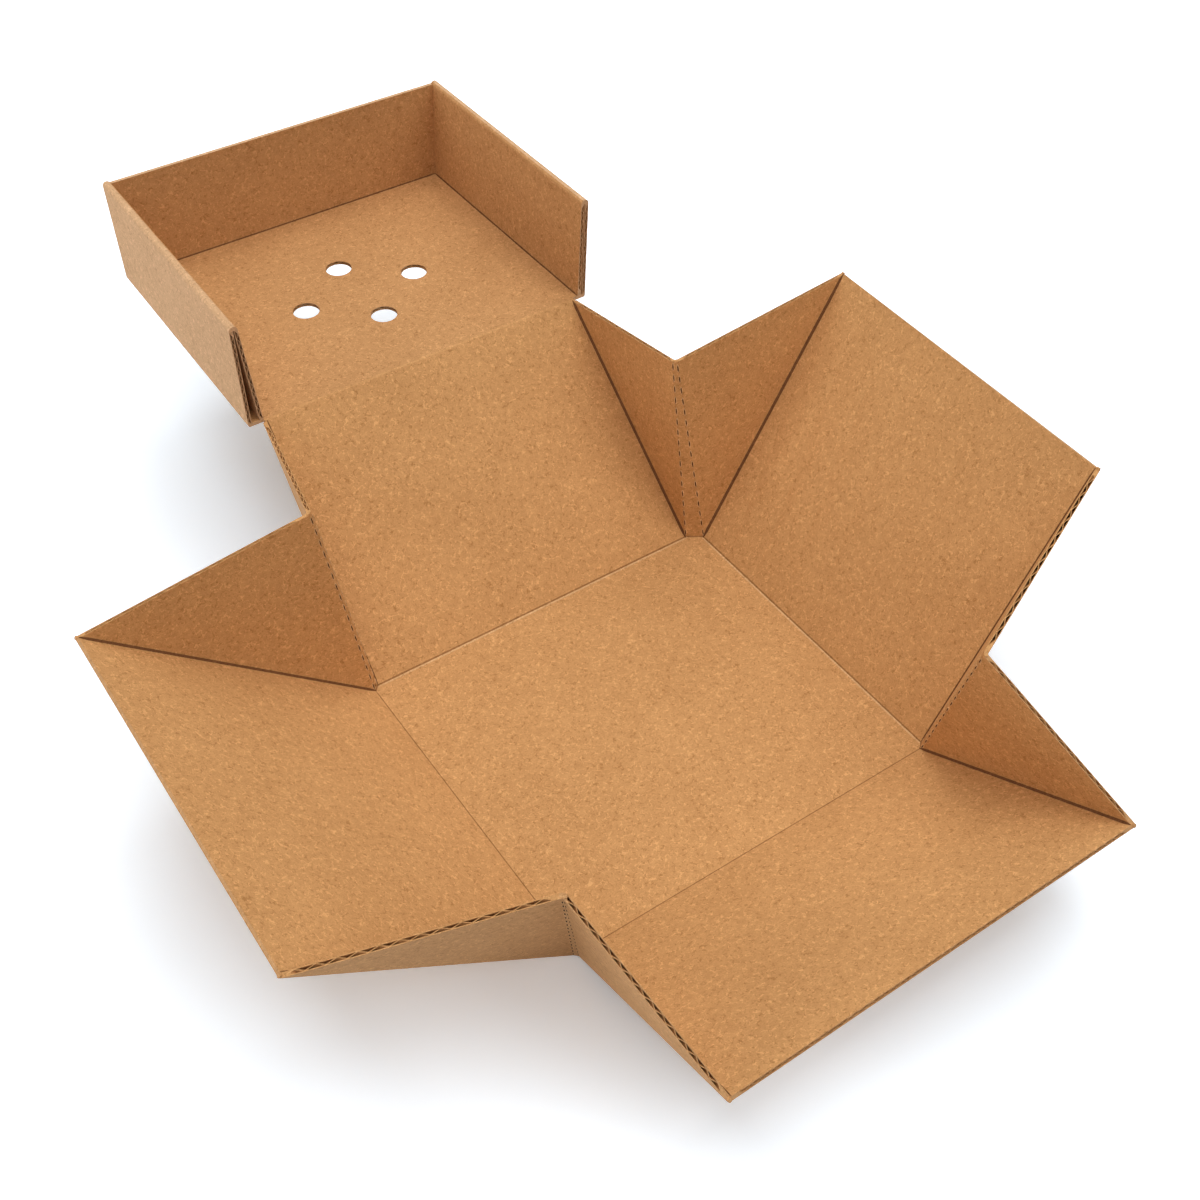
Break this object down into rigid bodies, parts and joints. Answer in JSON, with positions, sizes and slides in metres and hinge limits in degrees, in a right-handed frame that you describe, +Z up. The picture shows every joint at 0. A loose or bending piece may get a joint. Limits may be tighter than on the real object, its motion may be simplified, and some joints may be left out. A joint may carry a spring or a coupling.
{
  "type": "burger box",
  "caption": "Open food box of one folded sheet of brown corrugated board, with splayed walls, folded corner webs and a vented lid hinged on the rear wall.",
  "frame": {"origin": "centre of the base's underside, on the surface that the box stands on", "axes": "+X to the box's right, +Y from the front wall towards the lid, +Z up"},
  "size_m": [0.252, 0.3293, 0.0905],
  "materials": {
    "kraft_board": "uncoated brown kraft liner on corrugated board"
  },
  "bodies": {
    "tray": {"tray": "kraft_board"},
    "lid": {"lid": "kraft_board"}
  },
  "joints": [
    {"name": "lid_crease", "type": "hinge", "parent": "tray", "child": "lid", "pos_m": [0, 0.11738, 0.05649], "axis": [1, 0, 0], "range_deg": [-35, 74]}
  ]
}
